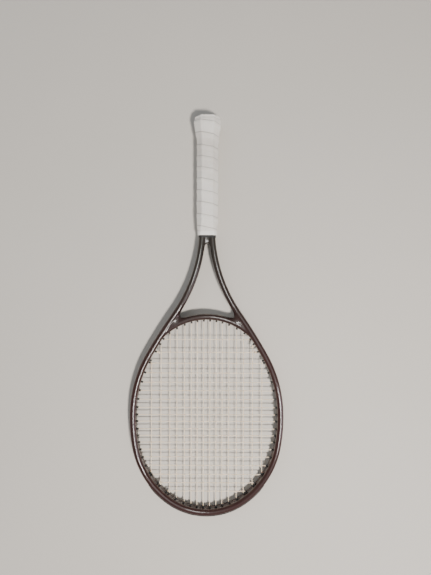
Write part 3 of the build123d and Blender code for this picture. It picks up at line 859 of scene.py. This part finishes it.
# the badge's profile: share of the radius, share of the depth
badge_rows = [
    (1.0, 1.0), (1.0, 0.3), (0.97, 0.06), (0.9, 0.0), (0.84, 0.1),
    (0.8, 0.38), (0.7, 0.34), (0.5, 0.22), (0.25, 0.14), (0.05, 0.12),
]


def handle_pieces():
    overgrip_piece()
    band("finishing_tape_band", "finishing_tape", tape_rows, "finishing_tape", 5)
    band("grip_collar_band", "grip_collar", collar_rows, "collar_rubber", 3)


def badge():
    """The plain domed disc on the trap door, with a raised ring."""
    low, high = [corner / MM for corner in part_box("butt_badge")]
    radius = (high.x - low.x) / 2
    depth = high.y - low.y
    count = 72
    points = []
    for across, down in badge_rows:
        for x, z in round_ring(radius * across, count):
            points.append((x, low.y + depth * down, z))
    faces = grid_faces(len(badge_rows), count, True)
    faces.append(tuple(range((len(badge_rows) - 1) * count, len(badge_rows) * count)))
    faces.append(tuple(range(count))[::-1])
    return finished(piece("badge_disc", points, faces, "trap_door"), "badge_plastic", "butt_badge")


# ---- string ends: along the groove, back in through a neighbour's hole, and knotted ---------------

# the holes that the string ends use, by their distance from the tip along the frame
main_8, main_7, tip_main_7 = 334.0, 367.2, 96.5
cross_1, cross_2, cross_19 = 377.9, 352.0, 79.2
beside = 1.35                       # a string's end lies this far beside the loop in the groove
knot_turns, knot_pitch = 2.6, 1.25


def in_groove(along, flip, level, z):
    place, outside = place_on(hoop_rows, along)
    x, y = place + outside * level
    return np.array([x * flip, y, z])


def smooth_path(points, steps):
    """A Catmull-Rom line through the points."""
    points = np.asarray(points, float)
    padded = np.vstack([2 * points[0] - points[1], points, 2 * points[-1] - points[-2]])
    line = []
    for a, b, c, d in zip(padded, padded[1:], padded[2:], padded[3:]):
        square, cube = 2 * a - 5 * b + 4 * c - d, 3 * b - a - 3 * c + d
        for t in np.arange(steps) / steps:
            line.append(0.5 * (2 * b + (c - a) * t + square * t**2 + cube * t**3))
    return np.array(line + [points[-1]])


def string_end(name, start, hole, flip, string_way):
    """A string's end, from its own hole at start to a knot by the next hole's mouth."""
    mouth = in_groove(hole, flip, -tube_width / 2 - barrel_reach, 0.0)
    route = [in_groove(start, flip, string_level, 0.0)]
    for part in (0.25, 0.5, 0.75):
        route.append(in_groove(start + (hole - start) * part, flip, string_level, beside))
    route.append(in_groove(hole, flip, string_level - 0.3, beside * 0.7))
    route.append(in_groove(hole, flip, 0.0, 0.5))
    route.append(mouth + (0, 0, 0.7))
    way = np.array(string_way, float)
    across = np.array([-way[1], way[0], 0.0])
    up = np.array([0.0, 0.0, 1.0])
    turn_radius = 2 * string_radius - 0.05
    for step in range(int(knot_turns * 10) + 1):
        angle = tau * step / 10
        arm = up * cos(angle) + across * sin(angle)
        route.append(mouth + way * (1.0 + knot_pitch * angle / tau) + arm * turn_radius)
    last = route[-1]
    route.append(last + way * 0.6 + (last - mouth) * (0.05, 0.05, 0.3) - across * 1.2)
    route.append(route[-1] - across * 1.6 + up * 0.5)
    points, faces = tube(smooth_path(route, 5), round_ring(string_radius, 12))
    return finished(piece(name, points, faces), "string")


def string_ends():
    """The four knotted ends: two of the main string, two of the cross string."""
    for flip, side in ((-1, "left"), (1, "right")):
        string_end(f"main_knot_{side}", main_8, cross_2, flip, (-flip, 0, 0))
    string_end("cross_knot_throat", cross_1, main_7, -1, (0, 1, 0))
    string_end("cross_knot_tip", cross_19, tip_main_7, 1, (0, -1, 0))


# ---- every piece -----------------------------------------------------------------------------------

finished(moulded_frame(), "frame_lacquer", "frame_tube", "throat_bridge")
finished(tapered_bumper(), "black_nylon", "bumper_guard")
handle_pieces()
badge()
string_ends()
slots = {row["node"]: row["material_slot"] for row in frame["record"]["subparts"]}
for node, obj in frame["nodes"].items():
    obj.data.materials.clear()
    obj.data.materials.append(finishes[slots[node]])


# ---- floor, lights and camera -------------------------------------------------------------------

floor_half = 4.0                    # metres
butt_rest_y = 13.0                  # where the flare of the butt touches the floor
tip_rest = Vector((0, tip_line_y * MM, -tube_height / 2 * MM))
butt_rest = Vector((0, butt_rest_y * MM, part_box("overgrip")[0].z - 0.2 * MM))


def floor():
    """A pale floor under the two places where the racket touches it."""
    slope_y = (tip_rest.z - butt_rest.z) / (tip_rest.y - butt_rest.y)
    points = []
    for x, y in ((-floor_half, -floor_half), (floor_half, -floor_half),
                 (floor_half, floor_half), (-floor_half, floor_half)):
        z = butt_rest.z + (y - butt_rest.y) * slope_y
        points.append((x / MM, y / MM, z / MM))
    obj = piece("floor", points, [(0, 1, 2, 3)], None)
    finish = Finish("pale_floor", Roughness=0.6)
    finish.paint(finish.blend(finish.noise(3, 3.0), srgb(199, 195, 188), srgb(206, 202, 196)))
    obj.data.materials.append(finish.material)


# place from the racket's middle, size, power, colour and the only kind of reflection it is in;
# the diffuse ones light the scene and the dimmer glossy ones show only in the gloss
stage_middle = Vector((0, 0.343, 0))
lights = {
    "key": ((-0.5, 0.7, 1.75), 0.22, 54, (1.0, 0.94, 0.87), "diffuse"),
    "key_gloss": ((-0.5, 0.7, 1.75), 0.35, 36.0, (1.0, 0.96, 0.92), "glossy"),
    "lamp_gloss": ((-0.12, -0.1, 1.9), 0.3, 7.0, (1.0, 0.98, 0.95), "glossy"),
    "ceiling_gloss": ((-0.35, -0.3, 2.2), 1.5, 6.5, (0.9, 1.0, 0.93), "glossy"),
    "window_gloss": ((-1.5, 0.6, 1.1), 0.7, 7.0, (1.0, 0.84, 0.96), "glossy"),
    "back_fill": ((1.2, -1.2, 1.6), 1.6, 10, (0.94, 0.97, 1.0), "diffuse"),
}
world_colour, world_strength = (0.9, 0.92, 0.95, 1), 0.3


def area_light(name, shift, size, power, colour, only):
    """A square light that points at the racket's middle."""
    light = bpy.data.lights.new(name, "AREA")
    light.size, light.energy, light.color = size, power, colour
    obj = bpy.data.objects.new(name, light)
    obj.location = stage_middle + Vector(shift)
    obj.rotation_euler = (stage_middle - obj.location).to_track_quat("-Z", "Y").to_euler()
    obj.visible_glossy = only == "glossy"
    obj.visible_diffuse = only == "diffuse"
    bpy.context.scene.collection.objects.link(obj)


def studio():
    for name, settings in lights.items():
        area_light(name, *settings)
    world = bpy.data.worlds.new("studio")
    world.use_nodes = True
    background = world.node_tree.nodes["Background"]
    background.inputs[0].default_value = world_colour
    background.inputs[1].default_value = world_strength
    bpy.context.scene.world = world


camera_place = (-0.0145, 0.293, 0.747)
camera_roll = 0.00373               # radians, beyond half a turn
lens, sensor_height = 27.05, 36.0


def camera():
    """Straight down from above the middle of the racket, its butt at the top."""
    data = bpy.data.cameras.new("camera")
    data.sensor_fit = "VERTICAL"
    data.sensor_height = sensor_height
    data.lens = lens
    obj = bpy.data.objects.new("camera", data)
    obj.location = camera_place
    obj.rotation_euler = (0, 0, pi + camera_roll)
    bpy.context.scene.collection.objects.link(obj)
    bpy.context.scene.camera = obj


floor()
studio()
camera()
bpy.context.view_layer.update()
